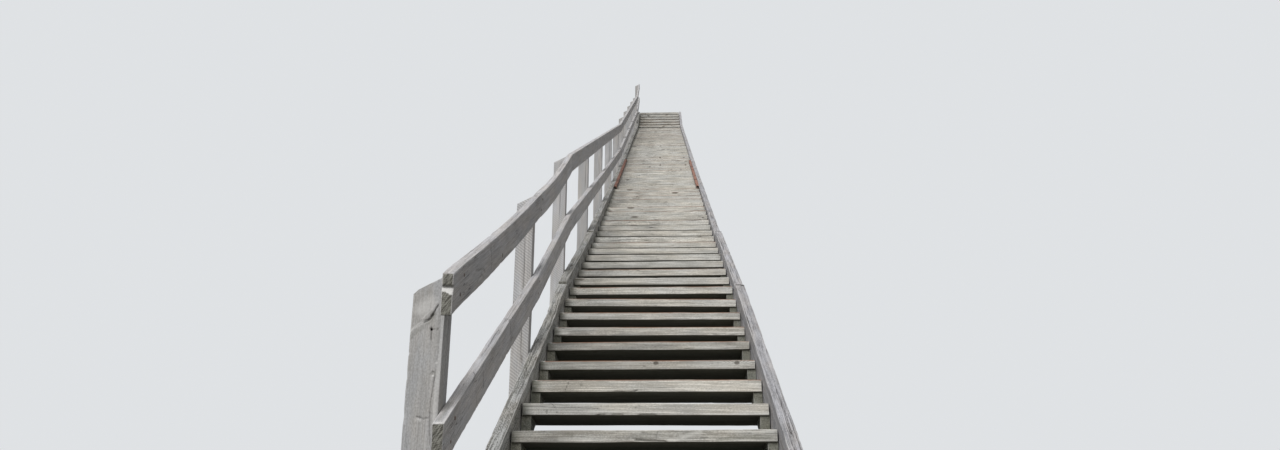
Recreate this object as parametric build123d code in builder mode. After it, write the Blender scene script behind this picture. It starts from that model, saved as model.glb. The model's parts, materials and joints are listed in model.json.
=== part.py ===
import os
from math import atan2, cos, radians, tan
from build123d import *

os.makedirs("parts", exist_ok=True)

# Sizes in millimetres. +Y runs uphill, +Z is up, and the origin is the middle of the newel's foot.

# Treads
clear_width = 1100
tread_thickness = 50
tread_depth = 285
tread_end_gap = 4
tread_arris = 5

# Four flights, each with its own number of steps, going and riser
foot_steps = 13
foot_going = 295
foot_riser = 167
easy_steps = 7
easy_going = 316
easy_riser = 166
long_steps = 51
long_going = 300
long_riser = 168
head_steps = 6
head_going = 330
head_riser = 242

# Triangular blocks that carry the tread ends
block_thickness = 45
block_setback = 12

# Stringers: planks on edge outside the tread ends, butted at plumb joints
stringer_thickness = 58
stringer_depth = 240
foot_overhang = 130
joint_setback = 60
joint_gap = 6
lower_long_steps = 19
middle_long_steps = 17

# Rise of each plank's top edge above the nosings, at its lower and its upper end
left_rises = {
    "foot": (20, 70),
    "easy": (78, 62),
    "lower_long": (76, 10),
    "middle_long": (10, 45),
    "upper_long": (50, 56),
    "head": (60, 60),
}
right_rises = {
    "foot": (28, 68),
    "easy": (40, 76),
    "lower_long": (34, 14),
    "middle_long": (14, 45),
    "upper_long": (50, 56),
    "head": (60, 60),
}

# Posts stand against the outer face of the left stringer
newel_size = 108
post_size = 92
regular_bay = 1965
short_bay = 1650
upper_bay_count = 10
newel_before_nosing = 428
post_below_nosing = 600
post_top_fall = 28
newel_drop = 53
post_drop = 35

# Handrail: two planks on edge along the posts' inner faces
rail_thickness = 38
rail_depth = 124
rail_spacing = 470
upper_rail_spacing = 440
rail_overhang = 80
rail_head_overhang = 25
rail_joint_gap = 5
notch_drop = 42
notch_height = 28
notch_depth = 32

# Height of the top rail above the nosings, at the posts where its line bends
newel_rail_height = 960
second_rail_height = 913
lower_rail_height = 970
dip_rail_height = 753
upper_rail_height = 849
head_rail_height = 832

# Steel channels laid upside down along the nosings, against both stringers across one joint
channel_width = 46
channel_height = 28
channel_thickness = 4
channel_length = 4200
channel_above_joint = 1400

# Positions worked out from the sizes above
stringer_x = newel_size / 2
tread_x = stringer_x + stringer_thickness
far_stringer_x = tread_x + clear_width
tread_length = clear_width - 2 * tread_end_gap

flights = {
    "foot": (foot_steps, foot_going, foot_riser),
    "easy": (easy_steps, easy_going, easy_riser),
    "long": (long_steps, long_going, long_riser),
    "head": (head_steps, head_going, head_riser),
}

# Front top edge of every tread, as points across the stair's side view
nosings = [(-newel_before_nosing, 0)]
breaks = [0]
for steps, going, riser in flights.values():
    for step in range(steps):
        nosings.append((nosings[-1][0] + going, nosings[-1][1] + riser))
    breaks.append(len(nosings) - 1)


def nosing_height(y):
    """Height of the line through the nosings at a distance y, carried on past both ends."""
    first = 0
    while first < len(nosings) - 2 and nosings[first + 1][0] < y:
        first += 1
    (y0, z0), (y1, z1) = nosings[first], nosings[first + 1]
    return z0 + (z1 - z0) * (y - y0) / (y1 - y0)


# The foot of the newel is the lowest point of the stair
lift = post_below_nosing - nosing_height(0)
nosings = [(y, z + lift) for y, z in nosings]

# Step numbers at which one pair of stringer planks gives way to the next
splice_step = breaks[2] + lower_long_steps
plank_steps = [*breaks[:3], splice_step, splice_step + middle_long_steps, *breaks[3:]]


def plank_outline(line, depth, y_start, y_end):
    """Side view of a plank on edge, cut plumb at both ends, with its top edge on a straight line."""
    (ya, za), (yb, zb) = line
    grade = (zb - za) / (yb - ya)
    plumb_depth = depth / cos(atan2(zb - za, yb - ya))
    top_start = za + grade * (y_start - ya)
    top_end = za + grade * (y_end - ya)
    return [
        (y_start, top_start),
        (y_end, top_end),
        (y_end, top_end - plumb_depth),
        (y_start, top_start - plumb_depth),
    ]


def write(part, name):
    part.label = name
    export_step(part, f"parts/{name}.step")


# Treads: one plank each, with eased long edges
flight_names = ["foot", "easy", "lower_long", "middle_long", "upper_long", "head"]
flight_steps = plank_steps[:-1] + [plank_steps[-1] + 1]
for name, first, last in zip(flight_names, flight_steps, flight_steps[1:]):
    with BuildPart() as treads:
        with BuildSketch(Plane.YZ.offset(tread_x + tread_end_gap)) as sections:
            with Locations(*nosings[first:last]):
                Rectangle(tread_depth, tread_thickness, align=(Align.MIN, Align.MAX))
            chamfer(sections.vertices(), tread_arris)
        extrude(amount=tread_length)
    write(treads.part, f"{name}_treads")


# Blocks: under each tread end, a right-angled triangle with its long side parallel to the slope
def riser_at(step):
    """Going and riser of the step that leads up to a tread, or away from the lowest one."""
    below = max(step, 1) - 1
    (y0, z0), (y1, z1) = nosings[below], nosings[below + 1]
    return y1 - y0, z1 - z0


def tread_blocks(name, x):
    with BuildPart() as blocks:
        with BuildSketch(Plane.YZ.offset(x)):
            for step, (y, z) in enumerate(nosings):
                going, riser = riser_at(step)
                leg = riser - tread_thickness
                reach = min(leg * going / riser, tread_depth - block_setback)
                with BuildLine():
                    Polyline(
                        (y + block_setback, z - tread_thickness),
                        (y + block_setback, z - tread_thickness - leg),
                        (y + block_setback + reach, z - tread_thickness),
                        close=True,
                    )
                make_face()
        extrude(amount=block_thickness)
    write(blocks.part, name)


tread_blocks("left_tread_blocks", tread_x)
tread_blocks("right_tread_blocks", far_stringer_x - block_thickness)

# Stringers: each pair of planks follows the nosings of its own stretch
# The head pair is cut level with the top tread
level_cut = 2 * tread_depth
plank_names = ["foot", "easy", "lower_long", "middle_long", "upper_long", "head"]
for side, x, rises in (("left", stringer_x, left_rises), ("right", far_stringer_x, right_rises)):
    for name, first, last in zip(plank_names, plank_steps, plank_steps[1:]):
        (ya, za), (yb, zb) = nosings[first], nosings[last]
        low_rise, high_rise = rises[name]
        line = ((ya, za + low_rise), (yb, zb + high_rise))
        y_start = ya - joint_setback + joint_gap / 2
        y_end = yb - joint_setback - joint_gap / 2
        if first == 0:
            y_start = ya - foot_overhang
        if last == breaks[-1]:
            y_end = yb + tread_depth
        with BuildPart() as stringer:
            with BuildSketch(Plane.YZ.offset(x)):
                with BuildLine():
                    Polyline(*plank_outline(line, stringer_depth, y_start, y_end), close=True)
                make_face()
                if last == breaks[-1]:
                    with Locations((yb, zb)):
                        Rectangle(level_cut, level_cut, align=(Align.CENTER, Align.MIN), mode=Mode.SUBTRACT)
            extrude(amount=stringer_thickness)
        write(stringer.part, f"{side}_{name}_stringer")

# Steel channels: legs down on the tread nosings, one leg against the stringer
seat = [(y, z - tread_arris * long_riser / long_going) for y, z in (nosings[breaks[2]], nosings[breaks[3]])]
channel_tilt = atan2(long_riser, long_going)
channel_run = channel_length * cos(channel_tilt)
channel_high_y = nosings[splice_step][0] - joint_setback + channel_above_joint
channel_top = [(y, z + channel_height / cos(channel_tilt)) for y, z in seat]
channel_hollow = [(y, z - channel_thickness / cos(channel_tilt)) for y, z in channel_top]
channel_ends = (channel_high_y - channel_run, channel_high_y)
for side, x in (("left", tread_x), ("right", far_stringer_x - channel_width)):
    with BuildPart() as channel:
        with BuildSketch(Plane.YZ.offset(x)):
            with BuildLine():
                Polyline(*plank_outline(channel_top, channel_height, *channel_ends), close=True)
            make_face()
        extrude(amount=channel_width)
        with BuildSketch(Plane.YZ.offset(x + channel_thickness)):
            with BuildLine():
                Polyline(*plank_outline(channel_hollow, channel_height, *channel_ends), close=True)
            make_face()
        extrude(amount=channel_width - 2 * channel_thickness, mode=Mode.SUBTRACT)
    write(channel.part, f"{side}_splice_strip")

# Distances uphill of the posts: the newel, two lower posts and the upper ones
post_places = [0, regular_bay, regular_bay + short_bay]
for bay in range(upper_bay_count):
    post_places.append(post_places[-1] + regular_bay)

# Points on the top rail's upper edge where its line bends; posts count from the newel as 0
last_post = len(post_places) - 1
dip_post = 6
rail_heights = {
    0: newel_rail_height,
    1: second_rail_height,
    2: lower_rail_height,
    dip_post: dip_rail_height,
    last_post - 1: upper_rail_height,
    last_post: head_rail_height,
}
bend_points = [(post_places[post], nosing_height(post_places[post]) + h) for post, h in rail_heights.items()]


def rail_top(y):
    """Height of the top rail's upper edge at a distance y."""
    span = 0
    while span < len(bend_points) - 2 and bend_points[span + 1][0] < y:
        span += 1
    (y0, z0), (y1, z1) = bend_points[span], bend_points[span + 1]
    return z0 + (z1 - z0) * (y - y0) / (y1 - y0)


# Posts: square, with tops sawn to fall away from the stair
for number, y in enumerate(post_places, start=1):
    size = newel_size if number == 1 else post_size
    foot = nosing_height(y) - post_below_nosing
    top = rail_top(y) - (newel_drop if number == 1 else post_drop)
    with BuildPart() as post:
        with BuildSketch(Plane.XZ.offset(-y - size / 2)):
            with BuildLine():
                Polyline(
                    (stringer_x, foot),
                    (stringer_x, top),
                    (stringer_x - size, top - size * tan(radians(post_top_fall))),
                    (stringer_x - size, foot),
                    close=True,
                )
            make_face()
        extrude(amount=size)
    write(post.part, "newel_post" if number == 1 else f"rail_post_{number:02d}")

# Rails: planks from post to post, butted at the posts; the top rail's foot end has a bevelled notch
rail_stretches = {
    "foot": [(0, 1), (1, 2)],
    "lower": [(2, 4), (4, dip_post)],
    "upper": [(dip_post, last_post - 3), (last_post - 3, last_post - 1)],
    "head": [(last_post - 1, last_post)],
}
foot_end = -newel_size / 2 - rail_overhang
head_end = post_places[-1] + post_size / 2 + rail_head_overhang


def mid_drop(post):
    """Distance of the mid rail below the top rail at a post: wide up to the lower planks' joint."""
    return rail_spacing if post <= rail_stretches["lower"][0][1] else upper_rail_spacing


for rail in ("top_rail", "mid_rail"):
    for stretch, spans in rail_stretches.items():
        with BuildPart() as rails:
            with BuildSketch(Plane.YZ.offset(stringer_x)):
                for first, last in spans:
                    ends = []
                    for post in (first, last):
                        drop = 0 if rail == "top_rail" else mid_drop(post)
                        ends.append((post_places[post], rail_top(post_places[post]) - drop))
                    y_start = foot_end if first == 0 else post_places[first] + rail_joint_gap / 2
                    y_end = head_end if last == last_post else post_places[last] - rail_joint_gap / 2
                    with BuildLine():
                        Polyline(*plank_outline(ends, rail_depth, y_start, y_end), close=True)
                    make_face()
                if rail == "top_rail" and stretch == "foot":
                    notch_top = rail_top(foot_end) - notch_drop
                    with BuildLine():
                        Polyline(
                            (foot_end, notch_top),
                            (foot_end + notch_depth, notch_top),
                            (foot_end, notch_top - notch_height),
                            close=True,
                        )
                    make_face(mode=Mode.SUBTRACT)
            extrude(amount=rail_thickness)
        write(rails.part, f"{rail}_{stretch}")
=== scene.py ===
import json
import math
from functools import partial

import bpy
import numpy as np
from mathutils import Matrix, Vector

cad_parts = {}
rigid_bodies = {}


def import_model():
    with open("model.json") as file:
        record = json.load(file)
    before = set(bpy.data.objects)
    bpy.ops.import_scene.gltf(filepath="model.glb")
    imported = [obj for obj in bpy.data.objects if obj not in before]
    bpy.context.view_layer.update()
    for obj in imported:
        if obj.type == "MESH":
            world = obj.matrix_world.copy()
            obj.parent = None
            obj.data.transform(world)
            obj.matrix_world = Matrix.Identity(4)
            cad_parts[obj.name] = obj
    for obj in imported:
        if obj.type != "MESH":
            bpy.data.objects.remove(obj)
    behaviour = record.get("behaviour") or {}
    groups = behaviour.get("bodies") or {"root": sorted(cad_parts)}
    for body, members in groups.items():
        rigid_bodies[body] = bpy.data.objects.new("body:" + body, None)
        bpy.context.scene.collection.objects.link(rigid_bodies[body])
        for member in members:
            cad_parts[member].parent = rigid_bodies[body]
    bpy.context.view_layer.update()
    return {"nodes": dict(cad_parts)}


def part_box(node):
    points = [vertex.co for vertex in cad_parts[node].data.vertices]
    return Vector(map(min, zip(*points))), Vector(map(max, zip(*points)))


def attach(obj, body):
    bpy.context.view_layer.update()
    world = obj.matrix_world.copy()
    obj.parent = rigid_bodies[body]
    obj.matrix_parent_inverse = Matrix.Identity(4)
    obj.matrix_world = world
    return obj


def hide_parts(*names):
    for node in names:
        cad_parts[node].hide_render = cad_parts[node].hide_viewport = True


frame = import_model()
sceneObjects = bpy.context.scene.collection.objects
xWay, yWay, zWay = (1.0, 0.0, 0.0), (0.0, 1.0, 0.0), (0.0, 0.0, 1.0)
print("frame loaded:", len(frame["nodes"]), "nodes")


# Reading the frame

def solidsOf(nodeName):  # corner points of each separate solid in a node, from the foot of the stair up
    mesh = frame["nodes"][nodeName].data
    points = np.array([vertex.co for vertex in mesh.vertices])
    corners, owner = np.unique(np.round(points, 5), axis=0, return_inverse=True)
    triangles = owner.ravel()[np.array([face.vertices[:] for face in mesh.polygons])]
    label, before = np.arange(len(corners)), None
    while not np.array_equal(label, before):
        before = label.copy()
        lowest = label[triangles].min(axis=1)
        for column in triangles.T:
            np.minimum.at(label, column, lowest)
    solids = [corners[label == key] for key in np.unique(label)]
    return sorted(solids, key=lambda solid: solid[:, 1].min())


def boxOf(points):
    return points.min(axis=0), points.max(axis=0)


def endHeights(points, within=0.001):  # heights of the corners at a plank's lower and upper end
    low, high = boxOf(points)
    return points[points[:, 1] < low[1] + within][:, 2], points[points[:, 1] > high[1] - within][:, 2]


def beamAt(corner, size, *axes):  # a squared timber, and the ways that it runs along, across and up
    return {"corner": corner, "size": size, "axes": np.array(axes)}


def plankOf(points):  # a plank on edge with plumb ends, as a leaning box
    low, high = boxOf(points)
    foot, head = endHeights(points)
    run = high[1] - low[1]
    slope = math.atan2(head.min() - foot.min(), run)
    size = (run / math.cos(slope), high[0] - low[0], foot.max() - foot.min())
    uphill = (0.0, math.cos(slope), math.sin(slope))
    return beamAt((low[0], low[1], foot.min()), size, uphill, xWay, zWay) | {"top": high[2]}


# Worn timber in mesh code

lattice = {
    "thinnest": 0.0004,  # between lines that an arris, a crack or a cut needs
    "finest": (0.006, 0.003, 0.004),  # between all other lines: along, across and up
    "inset": 2.4,  # arrises from an edge to the first inner line
    "broad": 0.04,  # half width over which a mark needs no lines of its own
}
# The axis out of each long face, the axis across it, and its side
faceAxes = {"top": (2, 1, 1), "bottom": (2, 1, 0), "near": (1, 2, 0), "far": (1, 2, 1)}


def ripple(seed, *axes):  # smooth noise, about -1 to 1
    draw = np.random.default_rng(seed)
    total, size, pitch = 0.0, 1.0, 1.0
    for _ in range(6):
        turns = draw.normal(0.0, 1.0, len(axes)) * pitch
        phase = draw.uniform(0.0, 2 * math.pi)
        total = total + size * np.sin(sum(axis * turn for axis, turn in zip(axes, turns)) + phase)
        size *= 0.62
        pitch *= 1.9
    return total / 1.9


def unit(values):
    return np.clip(values, 0.0, 1.0)


def gridLines(length, spacing, margin, finest, firm, soft):  # close together beside both arrises
    kept = [0.0]
    for line in np.sort(np.clip([margin, length - margin, length, *firm], 0.0, length)):
        if line - kept[-1] > lattice["thinnest"]:
            kept.append(line)
    kept[-1] = length
    inset = lattice["inset"] * margin
    inner = np.linspace(inset, length - inset, max(2, int(round(length / spacing))))
    for line in (*inner, *soft):
        if 0.0 < line < length and np.abs(np.array(kept) - line).min() > finest:
            kept.append(line)
    return np.sort(kept)


def latticeLines(size, look, cracks, marks):  # lines on all three axes, to carry the cracks and the marks
    firm = [list(lines) for lines in look.get("lines", ((), (), ()))]
    soft = [[], [], []]
    for crack in cracks:
        half = crack["width"] / 2
        firm[faceAxes[crack["face"]][1]] += [crack["at"] - half, crack["at"], crack["at"] + half]
    for each in marks:
        if each["half"] > lattice["broad"]:
            continue
        for axis, values in zip((0, faceAxes[each["face"]][1]), np.array(each["line"]).T):
            low, high = values.min() - each["half"], values.max() + each["half"]
            step = max(0.7 * each["half"], (high - low) / 20)
            soft[axis] += list(np.arange(low, high + step, step))
    finest = look.get("finest", lattice["finest"])
    return [
        gridLines(size[axis], look["spacing"][axis], look["arris"], finest[axis], firm[axis], soft[axis])
        for axis in range(3)
    ]


def latticeSkin(lines):  # the surface points of a box lattice, and the quads between them
    counts = [len(line) for line in lines]
    spots = np.indices(counts)
    skin = ((spots == 0) | (spots == np.reshape(counts, (3, 1, 1, 1)) - 1)).any(axis=0)
    number = np.full(counts, -1)
    number[skin] = np.arange(skin.sum())
    points = np.stack([line[spot[skin]] for line, spot in zip(lines, spots)], axis=1)
    quads = []
    for axis in range(3):
        for side in (0, -1):
            sheet = number.take(side, axis=axis)
            if (side == 0) == (axis != 1):
                sheet = sheet.T
            corners = (sheet[:-1, :-1], sheet[1:, :-1], sheet[1:, 1:], sheet[:-1, 1:])
            quads.append(np.stack(corners, axis=-1).reshape(-1, 4))
    return points, np.concatenate(quads)


def mark(face, half, line, depth=0.0, **effect):  # half its width, its line on the face and its depth, in mm
    # A stain over nought is damp, and at some marks painted shade; one under nought dry brown litter
    line = [(s / 1000, across / 1000) for s, across in line]
    still = {"dark": 0.0, "pale": 0.0, "stain": 0.0}
    return {"face": face, "half": half / 1000, "line": line, "depth": depth / 1000} | still | effect


def nearLine(spots, line):  # distance to a line of straight runs
    ends = np.array([*line, line[-1]], dtype=float)
    nearest = np.full(len(spots), 9.0)
    for start, stop in zip(ends, ends[1:]):
        run = stop - start
        share = unit((spots - start) @ run / max(run @ run, 1e-9))
        nearest = np.minimum(nearest, np.linalg.norm(spots - start - share[:, None] * run, axis=1))
    return nearest


def longCracks(seed, size, count, faces=("top",), depth=0.010, width=0.004):
    draw = np.random.default_rng(seed)
    cracks = []
    for number in range(count):
        face = faces[number % len(faces)]
        first = draw.uniform(0.0, 0.75) * size[0]
        cracks.append({
            "face": face,
            "at": size[faceAxes[face][1]] * (number + draw.uniform(0.7, 1.3)) / (count + 1.0),
            "span": (first, min(size[0], first + draw.uniform(0.25, 0.9))),
            "depth": draw.uniform(0.6, 1.2) * depth,
            "width": width,
            "wander": 0.003,
        })
    return cracks


def wornRadius(grid, size, look, seed, draw):  # rounded arrises, worn and chipped unevenly along each edge
    s, u, v = grid.T
    arris = look["arris"]
    edge = (u > size[1] / 2).astype(int) + 2 * (v > size[2] / 2)
    radius = np.zeros(len(grid))
    for corner in range(4):
        worn = arris * (1.0 + look["wear"] * ripple(seed + corner, s * 14))
        for _ in range(draw.poisson(look["chips"] * size[0])):
            middle, half = draw.uniform(0, size[0]), draw.uniform(0.01, 0.05)
            deep = draw.uniform(1.5, 3.0) * arris
            worn = np.maximum(worn, deep * (1.0 - np.abs(s - middle) / half))
        radius = np.where(edge == corner, worn, radius)
    return np.clip(radius, 0.15 * arris, 0.4 * size.min())[:, None]


def onFace(skin, face):
    axis, _, side = faceAxes[face]
    return np.abs(skin["grid"][:, axis] - side * skin["size"][axis]) < 1e-6


def cutCrack(skin, crack, seed):
    across = faceAxes[crack["face"]][1]
    s, offset = skin["grid"][:, 0], np.abs(skin["grid"][:, across] - crack["at"])
    first, last = crack["span"]
    reach = unit(np.minimum(s - first, last - s) / (0.25 * (last - first)))
    middle = unit(1.0 - offset / (crack["width"] / 2)) * onFace(skin, crack["face"]) * reach
    slip = crack["wander"] * ripple(seed, s * 22)
    skin["points"][:, across] += slip * unit(1.0 - offset / (5 * crack["wander"] + 0.004))
    skin["points"] -= skin["outward"] * (crack["depth"] * middle)[:, None]
    skin["hollow"] = np.maximum(skin["hollow"], middle)


def drawMark(skin, each, seed):
    touched = np.flatnonzero(onFace(skin, each["face"]))
    spots = skin["grid"][touched][:, [0, faceAxes[each["face"]][1]]]
    away = nearLine(spots, each["line"]) * (1.0 + 0.2 * ripple(seed, spots[:, 0] * 70))
    amount = unit(1.5 * (1.0 - away / each["half"]))
    skin["points"][touched] -= skin["outward"][touched] * (each["depth"] * amount)[:, None]
    skin["hollow"][touched] = np.maximum(skin["hollow"][touched], each["dark"] * amount)
    for field in ("pale", "stain"):  # the stronger of two holds
        old, new = skin[field][touched], each[field] * amount
        skin[field][touched] = np.where(np.abs(new) > np.abs(old), new, old)


def timber(beam, look, seed, marks=(), knots=(), shape=None):  # its points, its quads and its fields
    draw = np.random.default_rng(seed)
    size = np.array(beam["size"])
    cracks = longCracks(seed, size, **look["cracks"])
    grid, quads = latticeSkin(latticeLines(size, look, cracks, marks))
    s, u, v = grid.T
    radius = wornRadius(grid, size, look, seed, draw)
    inner = np.clip(grid, radius, size - radius)
    outward = grid - inner
    outward /= np.linalg.norm(outward, axis=1)[:, None]
    points = inner + radius * outward
    wear = 1.0 - np.clip(np.abs(outward).max(axis=1) - 0.72, 0.0, 0.28) / 0.28

    # Faces a little uneven, never proud of the sawn size
    unevenness = look["uneven"] * (ripple(seed + 7, s * 5, u * 40, v * 40) - 1.0)
    points += outward * np.minimum(unevenness, 0.0)[:, None]
    skin = {"grid": grid, "size": size, "points": points, "outward": outward}
    skin |= {field: np.zeros(len(grid)) for field in ("hollow", "pale", "stain")}
    for number, crack in enumerate(cracks):
        cutCrack(skin, crack, seed + 30 + number)
    for number, each in enumerate(marks):
        drawMark(skin, each, seed + 60 + number)
    points = np.clip(skin["points"], 0.0, size)
    bare = shape(points, grid, size) if shape else False  # moves the points, and tells which are freshly cut

    axes = beam["axes"]
    lean = float(axes[0] @ axes[2])
    places = np.array(beam["corner"]) + points @ axes
    if "sag" in look:
        places[:, 2] -= look["sag"](places[:, 1])
    flatten = np.array([xWay, yWay, (lean, 0.0, math.sqrt(1.0 - lean * lean))])
    grain = points @ flatten
    ends = ((np.abs(outward[:, 0]) > 0.75) & np.logical_not(bare)).astype(float)
    # Faces that look down, which take painted shade, with some damp
    shadeAndDampBelow = unit((-(outward @ axes)[:, 2] - 0.8) / 0.15)
    # Cut faces paler, partly as a painted highlight
    pale = np.maximum(skin["pale"], look.get("cutPale", 0.0) * bare)
    stain = skin["stain"]
    if "groundLine" in look:
        damp = unit(1.0 - (places[:, 2] - beam["corner"][2]) / look["groundLine"])
        stain = np.maximum(stain, damp * (0.8 + 0.3 * ripple(seed + 90, s * 9, u * 30)))
    fields = {
        "surface": np.stack([wear * (1.0 - ends), skin["hollow"], ends], axis=1),
        "weather": np.stack([shadeAndDampBelow, stain, pale], axis=1),
        "tint": np.full(len(grid), look["tone"] if "tone" in look else draw.uniform(-0.4, 0.4)),
    }
    for name, knot in zip(("knotA", "knotB"), [*knots, None, None]):
        fields[name] = np.full(grain.shape, 9.0) if knot is None else grain - np.array(knot) @ flatten
    slide = draw.uniform(0.0, 40.0)
    fields["grain"] = grain + np.array([slide, *(draw.uniform(*span) for span in look["pith"])])
    return places, quads, fields


def meshPiece(name, parts, material=None):  # one mesh object from several timbers, with outward faces
    mesh = bpy.data.meshes.new(name)
    starts = np.cumsum([0] + [len(part[0]) for part in parts])
    faces = []
    for start, (places, quads, _) in zip(starts, parts):
        a, b, c, d = places[quads].transpose(1, 0, 2)
        volume = (a * np.cross(b, c)).sum() + (a * np.cross(c, d)).sum()
        faces.append((quads if volume > 0 else quads[:, ::-1]) + start)
    points = np.concatenate([part[0] for part in parts])
    mesh.from_pydata(points.tolist(), [], np.concatenate(faces).tolist())
    for field in parts[0][2]:
        values = np.concatenate([part[2][field] for part in parts])
        kind, key = ("FLOAT", "value") if values.ndim == 1 else ("FLOAT_VECTOR", "vector")
        layer = mesh.attributes.new(field, kind, "POINT")
        layer.data.foreach_set(key, values.astype(np.float32).ravel())
    mesh.polygons.foreach_set("use_smooth", [True] * len(mesh.polygons))
    mesh.update()
    if material:
        mesh.materials.append(material)
    piece = bpy.data.objects.new(name, mesh)
    sceneObjects.link(piece)
    return piece


def standsFor(piece, slotName, *nodeNames):
    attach(piece, "root")
    if nodeNames:
        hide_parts(*nodeNames)


# Shader and geometry node helpers

def fill(socket, value):  # a link from a field, or a plain value
    if isinstance(value, Field):
        socket.id_data.links.new(value.socket, socket)
    else:
        socket.default_value = (*value, 1.0) if socket.type == "RGBA" else value


def addNode(tree, kind, inputs=None, **settings):
    made = tree.nodes.new(kind)
    for key, value in settings.items():
        setattr(made, key, value)
    for key, value in (inputs or {}).items():
        fill(made.inputs[key], value)
    return made


def fieldFrom(tree, kind, inputs=None, output=0, **settings):
    return Field(addNode(tree, kind, inputs, **settings).outputs[output])


class Field:  # a node's output, with the sums and patterns that the trees are made of
    def __init__(self, socket):
        self.socket = socket

    def through(self, kind, inputs=None, output=0, **settings):  # a node that takes this as its first input
        return fieldFrom(self.socket.id_data, kind, {0: self} | (inputs or {}), output, **settings)

    def calc(self, operation, *others):
        return self.through("ShaderNodeMath", dict(enumerate(others, 1)), operation=operation)

    def __add__(self, other):
        return self.calc("ADD", other)

    def __sub__(self, other):
        return self.calc("SUBTRACT", other)

    def __mul__(self, other):
        return self.calc("MULTIPLY", other)

    def __truediv__(self, other):
        return self.calc("DIVIDE", other)

    def wave(self):  # between nought and one, once over for each whole number
        return (self * (2 * math.pi)).calc("SINE") * 0.5 + 0.5

    def vector(self, operation, inputs=None, output=0):
        return self.through("ShaderNodeVectorMath", inputs, output, operation=operation)

    def length(self):
        return self.vector("LENGTH", output="Value")

    def split(self):
        return [Field(part) for part in self.through("ShaderNodeSeparateXYZ").socket.node.outputs]

    def ramp(self, fromLow, fromHigh, toLow=0.0, toHigh=1.0):
        inputs = dict(enumerate((fromLow, fromHigh, toLow, toHigh), 1))
        return self.through("ShaderNodeMapRange", inputs, interpolation_type="SMOOTHSTEP")

    def stretched(self, scale, shift=0.0):
        return self.through("ShaderNodeMapping", {"Scale": scale, "Location": (shift, 0.0, 0.0)})

    def cloud(self, scale, detail=3.0, shift=0.0):
        inputs = {"Scale": 1.0, "Detail": detail, "Roughness": 0.6}
        return self.stretched(scale, shift).through("ShaderNodeTexNoise", inputs)


def blend(factor, first, second, mode="MIX"):
    tree = next(part.socket.id_data for part in (factor, first, second) if isinstance(part, Field))
    inputs = {0: factor, 6: first, 7: second}
    return fieldFrom(tree, "ShaderNodeMix", inputs, 2, data_type="RGBA", blend_type=mode)


socketKinds = {float: "Float", int: "Int", bool: "Bool", tuple: "Color"}


def nodeGroup(name, kind, inputs, outputs):  # an input is named with its value, or with its kind
    group = bpy.data.node_groups.new(name, kind)
    for label, value in inputs.items():
        plain = isinstance(value, str)
        socketType = "NodeSocket" + (value if plain else socketKinds[type(value)])
        socket = group.interface.new_socket(name=label, in_out="INPUT", socket_type=socketType)
        if not plain:
            socket.default_value = (*value, 1.0) if isinstance(value, tuple) else value
    for label, value in outputs.items():
        group.interface.new_socket(name=label, in_out="OUTPUT", socket_type="NodeSocket" + value)
    given = {socket.name: Field(socket) for socket in group.nodes.new("NodeGroupInput").outputs}
    return group, given, group.nodes.new("NodeGroupOutput").inputs


def placeGroup(tree, group, values):  # values that the group doesn't ask for are passed over
    made = addNode(tree, "ShaderNodeGroup", node_tree=group)
    for socket in made.inputs:
        if socket.name in values:
            fill(socket, values[socket.name])
    return {socket.name: Field(socket) for socket in made.outputs}


# Weathered wood: growth rings about the pith, grey streaks, drying checks and knots

def sectionOf(grain):  # its place on a sawn end
    return grain.vector("MULTIPLY", {1: (0.0, 1.0, 1.0)})


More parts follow.
